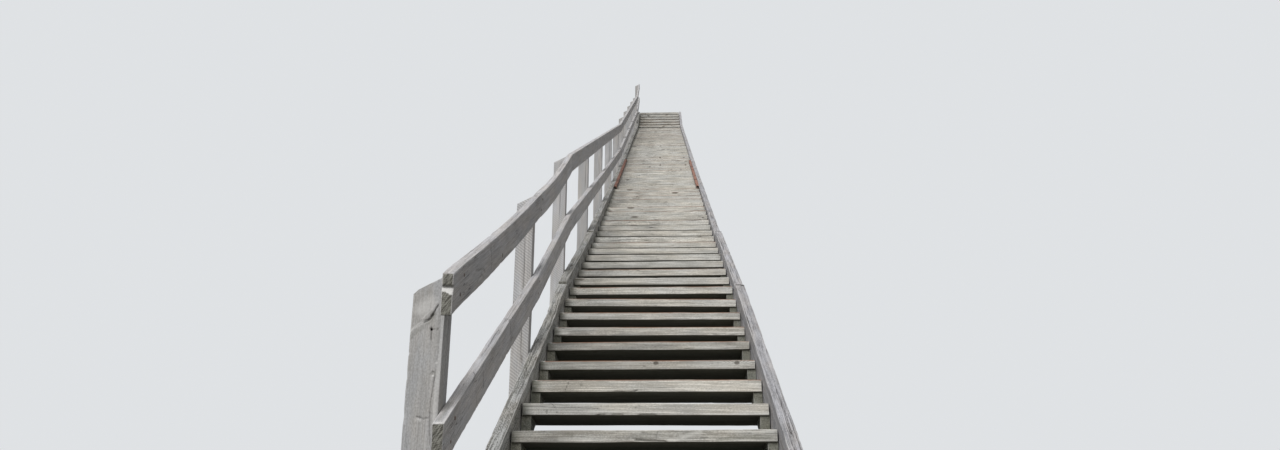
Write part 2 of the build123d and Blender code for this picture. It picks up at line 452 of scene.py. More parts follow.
def buildWeatheredWood():
    tree, given, result = nodeGroup("weatheredWood", "ShaderNodeTree", {
        "Grain": "Vector", "Knot A": "Vector", "Knot B": "Vector",
        "Silver": (0.5, 0.5, 0.5), "Shade": (0.2, 0.2, 0.2), "Contrast": 1.0, "Speckle": 1.6,
        "Ring Spacing": 0.008, "Ring Strength": 0.3, "Streak Width": 0.02, "Checks": 0.6, "Knot Share": 0.1,
    }, {"Color": "Color", "Height": "Float"})
    grain = given["Grain"]
    fromPith = sectionOf(grain).length() + (grain.cloud((0.7, 7.0, 7.0), 2.0) - 0.5) * 0.03

    fromStray = grain.stretched((4.0, 15.0, 15.0)).through("ShaderNodeTexVoronoi", {"Scale": 1.0})
    lot = Field(fromStray.socket.node.outputs["Color"]).through("ShaderNodeSeparateColor")
    chosen = lot.calc("LESS_THAN", given["Knot Share"])
    knot = fromStray.ramp(0.2, 0.12) * chosen
    swell = fromStray.ramp(0.75, 0.05, 0.0, 0.02) * chosen
    for label in ("Knot A", "Knot B"):
        away = given[label].vector("MULTIPLY", {1: (0.7, 1.0, 1.0)}).length()
        knot = knot.calc("MAXIMUM", away.ramp(0.012, 0.007))
        swell = swell + away.ramp(0.06, 0.0, 0.0, 0.025)

    wave = ((fromPith + swell) / given["Ring Spacing"]).wave()
    ring = wave.ramp(0.62, 0.96) * grain.cloud((1.0, 30.0, 30.0), 3.0, 3.0).ramp(0.25, 0.6)
    streak = grain.vector("DIVIDE", {1: given["Streak Width"]}).cloud((0.012, 1.0, 1.0), 4.0) - 0.5
    mottle = grain.cloud((6.0, 24.0, 24.0), 5.0, 19.0) - 0.5
    fibre = grain.cloud((4.0, 210.0, 210.0), 4.0) - 0.5
    speck = grain.cloud((130.0, 230.0, 230.0), 3.0, 23.0) - 0.5
    mixed = fibre * 2.3 + speck * given["Speckle"] + streak * 1.2 + mottle * 1.2

    check = (grain.cloud((2.4, 70.0, 70.0), 1.0, 7.0) - 0.5).calc("ABSOLUTE").ramp(0.016, 0.003)
    check = check * grain.cloud((2.6, 12.0, 12.0), 1.0).ramp(0.5, 0.62) * given["Checks"]

    colour = blend(mixed * given["Contrast"] + 0.5, given["Shade"], given["Silver"])
    colour = blend(ring * given["Ring Strength"], colour, given["Shade"])
    warmth = grain.cloud((3.0, 16.0, 16.0), 4.0, 31.0).ramp(0.35, 0.65)
    colour = blend(1.0, colour, blend(warmth, (0.99, 1.0, 1.02), (1.03, 1.0, 0.965)), "MULTIPLY")
    colour = blend(knot * 0.75, colour, (0.085, 0.07, 0.055))
    fill(result["Color"], blend(check, colour, (0.05, 0.045, 0.04)))
    fill(result["Height"], ring * 0.4 + (fibre + streak) * 0.7 - check * 2.0)
    return tree


# What weather does to the shape: pale rubbed arrises, black cracks, dark sawn ends and damp stains, with
# painted shade under the treads and at some marks, and a painted highlight on the rail's cut notch

def buildWeatherAndShadeMarks():
    tree, given, result = nodeGroup("weatherMarks", "ShaderNodeTree", {
        "Color": (0.5, 0.5, 0.5), "Surface": "Vector", "Weather": "Vector", "Grain": "Vector", "Tint": 0.0,
        "Rubbed": (0.6, 0.6, 0.58), "Rubbing": 0.5, "Sawn End": (0.25, 0.245, 0.215),
        "Sawn Grain": (0.07, 0.066, 0.056), "Damp": 0.3, "Damp Color": (0.10, 0.105, 0.08),
        "Litter Color": (0.23, 0.115, 0.07), "Underside": 0.8, "Underside Color": (0.065, 0.065, 0.045),
        "Crack Color": (0.03, 0.027, 0.024),
    }, {"Color": "Color", "Roughness": "Float"})
    wear, hollow, ends = given["Surface"].split()
    shadeAndDampBelow, stain, pale = given["Weather"].split()
    grain = given["Grain"]
    patch = grain.cloud((2.5, 11.0, 11.0), 4.0, 11.0)
    speck = grain.cloud((20.0, 90.0, 90.0), 3.0, 5.0)
    colour = given["Color"].vector("SCALE", {"Scale": given["Tint"] * 0.2 + 1.0})
    rubbedAndHighlight = wear * patch.ramp(0.3, 0.6) * given["Rubbing"]
    rubbedAndHighlight = rubbedAndHighlight.calc("MAXIMUM", pale * speck.ramp(0.25, 0.5, 0.6, 1.0))
    colour = blend(rubbedAndHighlight, colour, given["Rubbed"])

    section = sectionOf(grain)
    smear = section.through("ShaderNodeMapping", {"Rotation": (0.6, 0.0, 0.0)}).cloud((1.0, 210.0, 40.0))
    rings = (section.length() * 1100.0).calc("SINE") * 0.12 + smear.ramp(0.36, 0.66)
    colour = blend(ends, colour, blend(rings, given["Sawn Grain"], given["Sawn End"]))

    damp = patch.ramp(0.48, 0.75) * given["Damp"]
    # Damp patches and positive stains, some of which are painted shade
    damp = damp.calc("MAXIMUM", stain * speck.ramp(0.2, 0.6, 0.55, 1.0))
    colour = blend(damp, colour, given["Damp Color"])
    litter = stain.ramp(-0.1, -0.9) * patch.ramp(0.25, 0.6, 0.2, 1.0)
    colour = blend(litter, colour, given["Litter Color"])
    # Painted shade, with some damp, on faces that look down
    colour = blend(shadeAndDampBelow * given["Underside"], colour, given["Underside Color"])
    # Cracks black, and painted shade at some dark marks
    fill(result["Color"], blend(hollow.ramp(0.05, 0.9) * 0.92, colour, given["Crack Color"]))
    fill(result["Roughness"], patch.ramp(0.2, 0.8, 0.72, 0.92))
    return tree


# Saw marks: fine slanting ribs across the sawn faces

def buildSawMarks():
    tree, given, result = nodeGroup("sawMarks", "ShaderNodeTree", {
        "Grain": "Vector", "Rib Pitch": 0.007, "Rib Slant": 0.25,
    }, {"Ribs": "Float"})
    grain = given["Grain"]
    s, u, v = grain.split()
    place = s + (u + v) * given["Rib Slant"] + grain.cloud((6.0, 20.0, 20.0), 2.0) * 0.006
    patch = grain.cloud((3.0, 9.0, 9.0), 2.0, 5.0).ramp(0.25, 0.55)
    fill(result["Ribs"], (place / given["Rib Pitch"]).wave() * patch)
    return tree


# Rusted steel: flaking brown scale with paler bloom and dark pits

def buildRust():
    tree, given, result = nodeGroup("rust", "ShaderNodeTree", {
        "Place": "Vector", "Scale Color": (0.16, 0.06, 0.04), "Bloom": (0.36, 0.15, 0.11),
        "Pale": (0.48, 0.33, 0.27), "Pit Color": (0.04, 0.022, 0.018), "Pits": 0.6,
    }, {"Color": "Color", "Roughness": "Float", "Height": "Float"})
    broad = given["Place"].cloud((14.0, 5.0, 5.0), 4.0)
    flake = given["Place"].cloud((90.0, 60.0, 60.0), 4.0, 3.0)
    pit = flake.ramp(0.42, 0.3) * given["Pits"]
    colour = blend(broad.ramp(0.35, 0.6), given["Scale Color"], given["Bloom"])
    colour = blend(flake.ramp(0.5, 0.7) * 0.7, colour, given["Pale"])
    fill(result["Color"], blend(pit, colour, given["Pit Color"]))
    fill(result["Roughness"], flake.ramp(0.3, 0.7, 0.95, 0.7))
    fill(result["Height"], flake - pit)
    return tree


weatheredWood = buildWeatheredWood()
weatherMarks = buildWeatherAndShadeMarks()
sawMarks = buildSawMarks()
rust = buildRust()


def newMaterial(name):
    material = bpy.data.materials.new(name)
    material.use_nodes = True
    return material, material.node_tree, material.node_tree.nodes["Principled BSDF"].inputs


def coat(tree, surface, looks, height, strength, distance):
    bump = {"Height": height, "Strength": strength, "Distance": distance}
    fill(surface["Base Color"], looks["Color"])
    fill(surface["Roughness"], looks["Roughness"])
    fill(surface["Normal"], fieldFrom(tree, "ShaderNodeBump", bump))
    surface["Specular IOR Level"].default_value = 0.2


meshFields = [("Grain", "grain", "Vector"), ("Knot A", "knotA", "Vector"), ("Knot B", "knotB", "Vector"),
              ("Surface", "surface", "Vector"), ("Weather", "weather", "Vector"), ("Tint", "tint", "Fac")]


def timberMaterial(name, finish):
    material, tree, surface = newMaterial(name)
    values = finish | {
        label: fieldFrom(tree, "ShaderNodeAttribute", output=output, attribute_name=field)
        for label, field, output in meshFields
    }
    wood = placeGroup(tree, weatheredWood, values)
    ribs = placeGroup(tree, sawMarks, values)["Ribs"] * finish["Sawn"]
    sawn = blend(ribs, wood["Color"], (0.6, 0.6, 0.6), "MULTIPLY")
    marks = placeGroup(tree, weatherMarks, values | {"Color": sawn})
    coat(tree, surface, marks, wood["Height"] + ribs, 0.7, finish["Bump"])
    return material


def rustMaterial(name, finish):
    material, tree, surface = newMaterial(name)
    scale = placeGroup(tree, rust, finish | {"Place": fieldFrom(tree, "ShaderNodeTexCoord", output="Object")})
    coat(tree, surface, scale, scale["Height"], 0.6, 0.001)
    return material


baseFinish = {
    "Silver": (0.53, 0.527, 0.51), "Shade": (0.33, 0.326, 0.316), "Contrast": 1.0, "Speckle": 1.6,
    "Ring Spacing": 0.0055, "Ring Strength": 0.35, "Streak Width": 0.007, "Checks": 0.6, "Knot Share": 0.05,
    "Rib Pitch": 0.0165, "Rib Slant": 0.5, "Sawn": 0.0,
    "Rubbed": (0.66, 0.65, 0.63), "Rubbing": 0.5, "Damp": 0.08, "Underside": 0.8, "Bump": 0.0012,
}
treadFinish = {
    "Silver": (0.68, 0.668, 0.62), "Shade": (0.34, 0.33, 0.30), "Rubbed": (0.72, 0.71, 0.67), "Contrast": 1.5,
    "Ring Spacing": 0.0066, "Ring Strength": 1.0, "Streak Width": 0.005, "Knot Share": 0.1, "Damp": 0.15,
}
timberFinishes = {
    "treadTimber": treadFinish,
    # Less painted shade under the upper flights' treads
    "upperTreadTimber": treadFinish | {
        "Contrast": 1.7, "Speckle": 2.2, "Checks": 1.0, "Knot Share": 0.3, "Damp": 0.2, "Underside": 0.45,
    },
    # The left stringer darker and blotchier than the right: dirt, and painted shade of grass
    "stringerTimber": {
        "Silver": (0.43, 0.427, 0.41), "Shade": (0.14, 0.138, 0.128), "Contrast": 1.9, "Speckle": 2.8,
        "Checks": 1.0, "Rubbing": 1.0, "Damp": 0.4,
    },
    "dryStringerTimber": {
        "Silver": (0.455, 0.45, 0.463), "Shade": (0.22, 0.217, 0.222), "Contrast": 1.5, "Speckle": 2.6,
        "Checks": 1.0, "Rubbing": 0.7, "Damp": 0.15,
    },
    "newelTimber": {
        "Silver": (0.435, 0.434, 0.433), "Shade": (0.305, 0.302, 0.295), "Contrast": 0.85, "Speckle": 4.2,
        "Ring Strength": 0.2, "Checks": 0.2,
    },
    "postTimber": {
        "Silver": (0.55, 0.544, 0.54), "Shade": (0.36, 0.355, 0.352), "Contrast": 0.6,
        "Ring Strength": 0.15, "Checks": 0.2, "Rib Slant": 0.8, "Sawn": 0.8,
    },
    "railTimber": {
        "Silver": (0.53, 0.523, 0.53), "Shade": (0.31, 0.303, 0.305), "Contrast": 1.15, "Speckle": 2.2,
        "Ring Strength": 0.3, "Rib Slant": 0.9, "Sawn": 0.1, "Rubbing": 0.9,
    },
    # Blocks dark: damp green, and painted shade under the treads
    "blockTimber": {"Silver": (0.30, 0.30, 0.26), "Shade": (0.12, 0.122, 0.098), "Damp": 0.6},
}
steelFinishes = {
    "rustySteel": {
        "Scale Color": (0.115, 0.06, 0.045), "Bloom": (0.27, 0.135, 0.10), "Pale": (0.42, 0.30, 0.25),
        "Pits": 0.6,
    },
    "nailSteel": {
        "Scale Color": (0.07, 0.05, 0.045), "Bloom": (0.16, 0.11, 0.09), "Pale": (0.24, 0.21, 0.19),
        "Pits": 0.3,
    },
}
materials = {name: timberMaterial(name, baseFinish | finish) for name, finish in timberFinishes.items()}
materials |= {name: rustMaterial(name, finish) for name, finish in steelFinishes.items()}
print("finishes ready")


# Stringers: planks on edge, with checked and chipped upper arrises

stringers = {
    "arris": 0.005, "wear": 0.5, "chips": 5.0, "uneven": 0.001,
    "pith": ((-0.08, 0.02), (-0.3, -0.1)),
    "cracks": {"count": 5},
    "spacings": {  # of the lattice, along each plank
        "foot": 0.022, "easy": 0.028,
        "lower_long": 0.045, "middle_long": 0.07, "upper_long": 0.1,
        "head": 0.06,
    },
    "timber": {"left": "stringerTimber", "right": "dryStringerTimber"},
    "headCut": {"left": 0.045, "right": 0.09},
    "ends": {  # how far uphill both ends sit off
        "left_foot_stringer": (0.0, -0.1),
        "left_easy_stringer": (-0.1, 0.0),
        "right_foot_stringer": (0.0, -0.14),
        "right_easy_stringer": (-0.14, -0.1),
        "right_lower_long_stringer": (-0.1, 0.0),
    },
    "jointDirt": {  # painted shade along a plank's upper end at the joint, as distance back from that end
        "right_foot_stringer": [
            mark("top", 40, [(0, 0), (0, 58)], dark=0.8),
            mark("top", 30, [(20, 50)], dark=1.0, depth=4),
        ],
        "right_easy_stringer": [mark("top", 50, [(0, 0), (0, 58)], dark=0.6)],
    },
    "bow": {"left_foot_stringer": (-0.43, 2.62, 2.9, 0.024)},  # from, deepest, to and how much the edge dips
}
flights = list(stringers["spacings"])
sides = ("left", "right")


def slideEnds(beam, first, last):
    _, run, rise = beam["axes"][0]
    x, y, z = beam["corner"]
    beam["corner"] = (x, y + first, z + first * rise / run)
    beam["size"] = (beam["size"][0] + (last - first) / run, *beam["size"][1:])


def levelCut(beam, cut):  # a plank's upper end sawn level, a little under its node's
    def shape(points, grid, size):
        room = beam["top"] - cut - beam["corner"][2] - points[:, 0] * beam["axes"][0][2]
        points[:, 2] *= np.clip(room / size[2], 0.05, 1.0)
        return False

    return shape


def dipBetween(first, deepest, last, amount):
    return lambda y: amount * np.interp(y, (first, deepest, last), (0.0, 1.0, 0.0))


for side in sides:
    for number, (flight, spacing) in enumerate(stringers["spacings"].items()):
        node = f"{side}_{flight}_stringer"
        beam = plankOf(solidsOf(node)[0])
        slideEnds(beam, *stringers["ends"].get(node, (0.0, 0.0)))
        seed = 100 + 10 * number + (side == "right")
        look = stringers | {"spacing": (spacing, 0.012, 0.05)}
        if node in stringers["bow"]:
            look["sag"] = dipBetween(*stringers["bow"][node])
        marks = [
            each | {"line": [(beam["size"][0] - back, v) for back, v in each["line"]]}
            for each in stringers["jointDirt"].get(node, ())
        ]
        shape = levelCut(beam, stringers["headCut"][side]) if flight == "head" else None
        part = timber(beam, look, seed, marks, shape=shape)
        piece = meshPiece(f"{side}_{flight}_plank", [part], materials[stringers["timber"][side]])
        standsFor(piece, "stringer_timber", node)
print("stringers made")


# Steel channels over the stringers' joint, laid upside down, with dented legs

channels = {
    "thickness": 0.004,
    "corner": 0.005,
    "station": 0.03,
    "dent": 0.0015,
    "slim": 0.8,  # of the seat's width, kept against the stringer
    "trim": {"left": 0.15, "right": 0.4},  # off the upper end
}


def channelSection(width, depth):
    turns = np.linspace(0.0, math.pi / 2, 5)
    bend = channels["corner"] * np.stack([1.0 - np.cos(turns), np.sin(turns) - 1.0], axis=1)
    half = [(0.0, 0.0), (0.0, 0.5 * depth), *(bend + (0.0, depth)), (0.5 * width, depth)]
    outer = np.array(half + [(width - x, z) for x, z in half[-2::-1]])
    middle = np.array([0.5 * width, 0.0])
    shrink = np.array([1.0 - 2 * channels["thickness"] / width, 1.0 - 1.2 * channels["thickness"] / depth])
    return np.concatenate([outer, (middle + (outer - middle) * shrink)[::-1]])


def channelPiece(name, points, side, seed):
    low, high = boxOf(points)
    foot, head = endHeights(points)
    fullWidth, depth = high[0] - low[0], foot.max() - foot.min()
    width = channels["slim"] * fullWidth
    start = low[0] + (fullWidth - width if side == "right" else 0.0)
    section = channelSection(width, depth)
    count = len(section)
    slope = (head.max() - foot.max()) / (high[1] - low[1])
    rows = []
    for y in np.arange(low[1], high[1] - channels["trim"][side], channels["station"]):
        lean = np.abs(channels["dent"] * ripple(seed, np.array([y * 9.0]), section[:, 1] * 30.0))
        inward = np.where(section[:, 0] < 0.5 * width, lean, -lean) * (1.0 - section[:, 1] / depth)
        heights = foot.min() + section[:, 1] + slope * (y - low[1])
        rows.append(np.stack([start + section[:, 0] + inward, np.full(count, y), heights], axis=1))
    quads = []
    for row in range(0, (len(rows) - 1) * count, count):
        for spot in range(count):
            after = (spot + 1) % count
            quads.append((row + spot, row + after, row + count + after, row + count + spot))
    last = (len(rows) - 1) * count
    for spot in range(count // 2 - 1):
        cap = (spot, count - 1 - spot, count - 2 - spot, spot + 1)
        quads += [cap, tuple(last + corner for corner in cap[::-1])]
    return meshPiece(name, [(np.concatenate(rows), np.array(quads), {})], materials["rustySteel"])


for side in sides:
    node = f"{side}_splice_strip"
    piece = channelPiece(f"{side}_channel", solidsOf(node)[0], side, 70 + (side == "right"))
    standsFor(piece, "rusty_steel", node)
print("channels made")


# Rails: planks on edge from post to post, the top one notched at its foot and sagging in its first bays

rails = {
    "arris": 0.005, "wear": 0.5, "chips": 1.5, "uneven": 0.0008,
    "pith": ((-0.04, 0.04), (-0.3, -0.17)),
    "cracks": {"count": 1},
    "spacings": {"foot": 0.018, "lower": 0.03, "upper": 0.06, "head": 0.06},
    "finest": (0.0045, 0.002, 0.003),
    "bayDips": (0.015, 0.023),  # top rail, in its first two bays
    "notchDrop": 0.042,
    "notchDepth": 0.010,
    "notchHeights": (0.018, 0.033),  # at the outer and the inner side
    "notchReach": 0.08,
    # The notch's cut faces paler, partly as a painted highlight
    "cutPale": 0.9,
    # Marks on the foot planks, as distance uphill and depth under the upper edge
    "marks": {
        ("top_rail", 0): [
            mark("far", 4, [(478, 0), (492, 35), (520, 85), (532, 124)], dark=1.0, depth=6),
            mark("far", 6, [(214, 60), (280, 72), (364, 84), (400, 105)], stain=0.5),
            mark("far", 6, [(250, 112), (320, 98), (380, 118)], stain=0.45),
        ],
        ("top_rail", 1): [mark("far", 30, [(3060, 60), (3300, 60), (3550, 70)], pale=0.12)],
        ("mid_rail", 0): [
            mark("far", 5, [(1050, 0), (1077, 62), (1103, 114)], dark=1.0, depth=5),
            mark("far", 4, [(477, 43), (494, 104)], dark=0.8),
            mark("far", 4, [(367, 96), (375, 123)], dark=0.8),
        ],
    },
    "topKnots": [(0.767, 0.109, 0.038), (1.84, 0.0, 0.02)],  # metres uphill, down and from the outer side
    "midTopMarks": [  # as distance from the plank's foot and from its outer side
        mark("top", 6, [(1370, 0), (1360, 38)], dark=0.9, depth=4),
        mark("top", 8, [(4, 0), (4, 38)], pale=0.6),
        mark("top", 6, [(0, 36), (160, 37)], pale=0.6),
        mark("top", 14, [(30, 14), (90, 18), (200, 14)], stain=0.35),
    ],
}
postNodes = sorted(name for name in frame["nodes"] if "post" in name)
postMiddles = sorted(sum(end[1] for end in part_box(name)) / 2 for name in postNodes)


def railSag(y):
    total = np.zeros_like(y)
    for first, last, dip in zip(postMiddles, postMiddles[1:], rails["bayDips"]):
        share = unit((y - first) / (last - first))
        total += 4.0 * dip * share * (1.0 - share)
    return total


def onPlank(beam, y, drop):  # a place on a plank's side, from its distance uphill and its depth
    return (y - beam["corner"][1]) / beam["axes"][0][1], beam["size"][2] - drop


def notchedFoot(beam):
    _, run, rise = beam["axes"][0]

    def shape(points, grid, size):
        below = size[2] - rails["notchDrop"] - grid[:, 2]
        bite = np.interp(grid[:, 1], (0.0, size[1]), rails["notchHeights"])
        deep = np.where(below > 0.0, rails["notchDepth"] * unit(1.0 - below / bite), 0.0)
        pulled = deep * unit(1.0 - grid[:, 0] / rails["notchReach"])
        points[:, 0] += pulled / run
        points[:, 2] -= pulled * rise / run
        return (deep > 0.0) & (grid[:, 0] < 1e-6)

    return shape


def railPlank(line, plank, beam, look, seed, inFoot):  # the first bays' planks carry drawn marks
    marks, knots, shape = [], [], None
    if inFoot:
        for each in rails["marks"].get((line, plank), ()):
            marks.append(each | {"line": [onPlank(beam, y, drop) for y, drop in each["line"]]})
    if inFoot and (line, plank) == ("top_rail", 0):
        shape = notchedFoot(beam)
        for y, drop, across in rails["topKnots"]:
            s, v = onPlank(beam, y, drop)
            knots.append((s, across, v))
        ledge = beam["size"][2] - rails["notchDrop"]
        heights = (ledge, ledge - 0.0005, *(ledge - np.linspace(*rails["notchHeights"], 4)))
        look["lines"] = (np.arange(0.0, rails["notchReach"] + 0.01, 0.008), (), heights)
    if inFoot and (line, plank) == ("mid_rail", 0):
        marks += rails["midTopMarks"]
    return timber(beam, look, seed, marks, knots, shape)


for line in ("top_rail", "mid_rail"):
    for number, (stretch, spacing) in enumerate(rails["spacings"].items()):
        node = f"{line}_{stretch}"
        parts = []
        for plank, solid in enumerate(solidsOf(node)):
            look = rails | {"spacing": (spacing, 0.014, 0.03)}
            if line == "top_rail":
                look["sag"] = railSag
            seed = 300 + 20 * number + 5 * plank + (line == "mid_rail")
            parts.append(railPlank(line, plank, plankOf(solid), look, seed, stretch == "foot"))
        standsFor(meshPiece(f"{node}_planks", parts, materials["railTimber"]), "rail_timber", node)
print("rails made")


# Posts: square, sawn off at a slant that sheds rain away from the stair

posts = {
    "arris": 0.004, "wear": 0.5, "chips": 1.5, "uneven": 0.001,
    "pith": ((-0.07, -0.02), (-0.07, -0.02)),
    "spacing": (0.03, 0.012, 0.02),
    "cracks": {"count": 2, "faces": ("far", "bottom"), "depth": 0.008, "width": 0.003},
    "slantReach": 0.07,
    "groundLine": 0.35,
    "tones": {1: -0.1, 2: 0.4, 3: 0.6, 4: 0.0},
    "marks": {2: [mark("bottom", 8, [(870, 0), (868, 14)], dark=1.0, depth=6)]},
}

# The newel's front, as height and distance from its outer edge in millimetres
splitEdge = [(1319, 0), (1329, 9), (1340, 24), (1350, 40), (1355, 52), (1361, 61),
             (1371, 64), (1381, 72), (1396, 78), (1407, 85)]
newelMark = partial(mark, "bottom")
newel = {
    "spacing": (0.014, 0.0045, 0.012),
    "finest": (0.0018, 0.0011, 0.006),
    "lines": (np.arange(0.93, 1.44, 0.0045), (), ()),  # close together over the stretch that shows
    "cracks": posts["cracks"] | {"count": 1},
    "slabDepth": 0.004,
    "slabFade": 0.045,
    "cornerWidth": 0.018,
    "cornerDrop": 0.009,
    "marks": [
        newelMark(2.8, splitEdge[6:], dark=0.55, depth=3),
        # Painted shade in the scoop under the split, in this mark and the next
        newelMark(5.5, [(1350, 44), (1357, 56), (1364, 64), (1374, 70)], dark=0.45, depth=4),
        newelMark(10, [(1345, 47), (1360, 66), (1376, 75)], stain=0.3),
        newelMark(4, [(1362, 36), (1375, 50), (1392, 64), (1404, 73)], pale=0.5),
        newelMark(5, splitEdge[:5], pale=0.7),
        # Painted shade under the split's pale lip
        newelMark(10, [(1300, 4), (1318, 20), (1334, 44)], stain=0.25),
        newelMark(5, [(1326, 68)], dark=1.0, depth=10),
        newelMark(3, [(1335, 67), (1326, 68), (1291, 70)], dark=0.5, depth=2),
        newelMark(3, [(1326, 68), (1323, 85), (1327, 89)], dark=0.45, depth=2),
        newelMark(2, [(1356, 95), (1291, 96), (1227, 93), (1164, 89)], dark=0.3, depth=1.5),
        newelMark(3, [(1180, 89), (1140, 86), (1102, 82), (1063, 81), (1025, 84), (965, 89)],
                  dark=0.45, depth=2),
        newelMark(8, [(1370, 102), (1200, 101), (1100, 95), (1000, 98)], pale=0.35),
        newelMark(9, [(1186, 82)], depth=3, stain=0.2),
        newelMark(4, [(1193, 79), (1192, 86)], dark=0.35),
        newelMark(5, [(1178, 83)], pale=0.9),
        newelMark(4, [(1114, 84)], dark=0.6),
        newelMark(4.5, [(1063, 81)], dark=0.6),
        newelMark(5, [(1218, 92)], pale=0.9),
        newelMark(3, [(1051, 42), (1048, 55), (1044, 64), (1047, 76)], dark=0.5, depth=2),
        newelMark(5, [(1043, 42), (1040, 55)], pale=0.4),
        newelMark(30, [(1390, 30), (1410, 60)], pale=0.45),
    ],
}


def slantedTop(fall, isNewel):
    def shape(points, grid, size):
        share = unit((points[:, 0] - size[0] + posts["slantReach"]) / posts["slantReach"])
        drop = fall * (1.0 - points[:, 1] / size[1])
        if isNewel:
            drop = drop + newel["cornerDrop"] * unit(1.0 - points[:, 1] / newel["cornerWidth"])
            heights, across = np.array(splitEdge).T / 1000
            below = np.interp(grid[:, 1], across, heights) - grid[:, 0]
            slab = np.where(below > 0.0, unit(1.0 - below / newel["slabFade"]), 0.0)
            onSlab = (grid[:, 2] < 1e-6) & (grid[:, 1] < across[-1])
            points[:, 2] += newel["slabDepth"] * slab * onSlab * unit(grid[:, 1] / across[-1])
        points[:, 0] -= share * drop
        return False

    return shape


for node in postNodes:
    points = solidsOf(node)[0]
    low, high = boxOf(points)
    fall = high[2] - points[points[:, 0] < low[0] + 0.001][:, 2].max()
    beam = beamAt(tuple(low), tuple((high - low)[[2, 0, 1]]), zWay, xWay, yWay)
    isNewel = node == "newel_post"
    number = 1 if isNewel else int(node[-2:])
    look = posts | (newel if isNewel else {})
    if number in posts["tones"]:
        look["tone"] = posts["tones"][number]
    marks = newel["marks"] if isNewel else posts["marks"].get(number, ())
    part = timber(beam, look, 500 + number, marks, shape=slantedTop(fall, isNewel))
    piece = meshPiece(f"{node}_timber", [part], materials["newelTimber" if isNewel else "postTimber"])
    standsFor(piece, "post_timber", node)
print("posts made")


# Treads: one tree lays a flight of planks, taken from a stack of blanks

frontMark = partial(mark, "near")
treads = {
    "blanks": 13,
    "arris": 0.003, "wear": 0.6, "chips": 1.5, "uneven": 0.001,
    "pith": ((-0.12, 0.12), (0.07, 0.2)),
    "spacings": {"footBlanks": (0.022, 0.06, 0.012), "plainBlanks": (0.045, 0.07, 0.016)},
    "finest": (0.0045, 0.003, 0.002),
    "cracks": {"count": 2, "depth": 0.008},
    "tilt": 0.0026,  # radians
    # Foot flight, by blank: how far it has dropped, its share of the sawn thickness, its fall to the right
    "settled": {
        5: (0.004, 1.02, 0.0), 6: (0.0045, 1.09, 0.004), 7: (0.005, 1.18, 0.003), 8: (0.010, 0.935, 0.001),
        9: (0.005, 0.925, -0.001), 10: (0.012, 1.02, 0.002), 11: (0.009, 0.93, 0.005),
        12: (0.003, 1.03, 0.012),
    },
    "tones": {5: -0.9, 6: 0.0, 7: 0.45, 8: -0.9, 9: -0.8, 10: -0.5},
    "lastSwept": 6,  # the blanks after it carry litter
    "knots": {8: [(0.589, 0.0, 0.033), (0.999, 0.0, 0.032)]},  # metres from the left end, back and up
    # upper_long and head darker as painted shade
    "flightTones": {"lower_long": 0.25, "middle_long": 0.15, "upper_long": -0.35, "head": -0.55},
    "swelling": {"easy": 1.05, "lower_long": 1.1, "head": 1.3},  # share of the sawn thickness
    # Marks on the fronts of the lowest planks, as distance from the left end and height over the underside
    "marks": {
        5: [
            frontMark(9, [(513, 12), (550, 6), (591, 3), (628, 0)], dark=0.5, depth=6),
            frontMark(9, [(538, 36), (571, 30), (603, 25), (644, 18), (677, 13)], dark=0.25, depth=2),
            frontMark(4, [(604, 44), (597, 28), (598, 12)], dark=0.45),
            frontMark(12, [(644, 3), (693, 15), (734, 29), (775, 39)], pale=0.4),
            frontMark(12, [(848, 9), (897, 15), (959, 20), (1068, 18)], stain=0.4),
            frontMark(12, [(202, 13), (263, 13), (325, 9)], pale=0.35),
            frontMark(14, [(226, 33), (251, 29)], stain=0.3),
        ],
        6: [
            frontMark(7, [(503, 31)], stain=0.5),
            frontMark(3, [(0, 36), (101, 33), (168, 31), (345, 28)], dark=0.6),
            frontMark(4, [(0, 42), (168, 39)], pale=0.5),
            frontMark(3, [(127, 50), (146, 33), (155, 11)], dark=0.6),
            frontMark(4, [(111, 20), (113, 0)], dark=0.5, depth=3),
            frontMark(6, [(337, 0), (364, 0)], dark=0.3, depth=6),
            frontMark(6, [(399, 0), (443, 0)], dark=0.3, depth=6),
            frontMark(6, [(523, 0), (589, 0)], dark=0.3, depth=6),
            frontMark(6, [(787, 3), (1086, 3)], pale=0.8),
        ],
        7: [
            frontMark(3, [(177, 45), (164, 16), (157, 2)], dark=0.6),
            frontMark(7, [(402, 0), (421, 0)], dark=0.8, depth=7),
            frontMark(5, [(473, 0), (501, 7)], dark=0.7, depth=4),
            frontMark(9, [(235, 30)], stain=0.5),
            # Painted shadow of the stringer on this tread's left end
            frontMark(60, [(0, 0), (0, 50)], stain=0.8),
        ],
        9: [frontMark(10, [(798, 13), (1013, 14)], pale=0.35)],
        10: [frontMark(14, [(46, 17), (75, 16)], pale=0.6)],
    },
    # Painted shadow of the left stringer, with some dirt, on the left end of every tread
    "endDirt": [
        frontMark(45, [(0, 0), (0, 50)], stain=0.6),
        mark("top", 50, [(0, 0), (0, 285)], stain=0.6),
    ],
    "litter": [
        frontMark(7, [(20, 50), (1090, 50)], stain=-1.0),
        mark("top", 12, [(20, 4), (1090, 4)], stain=-0.9),
    ],
}


def stackOf(name, blanks):  # a collection of blanks that the trees pick from
    stack = bpy.data.collections.new(name)
    bpy.context.scene.collection.children.link(stack)
    for blank in blanks:
        sceneObjects.unlink(blank)
        stack.objects.link(blank)
    return stack


def clearStack(stack):
    for blank in list(stack.objects):
        bpy.data.objects.remove(blank)
    bpy.data.collections.remove(stack)


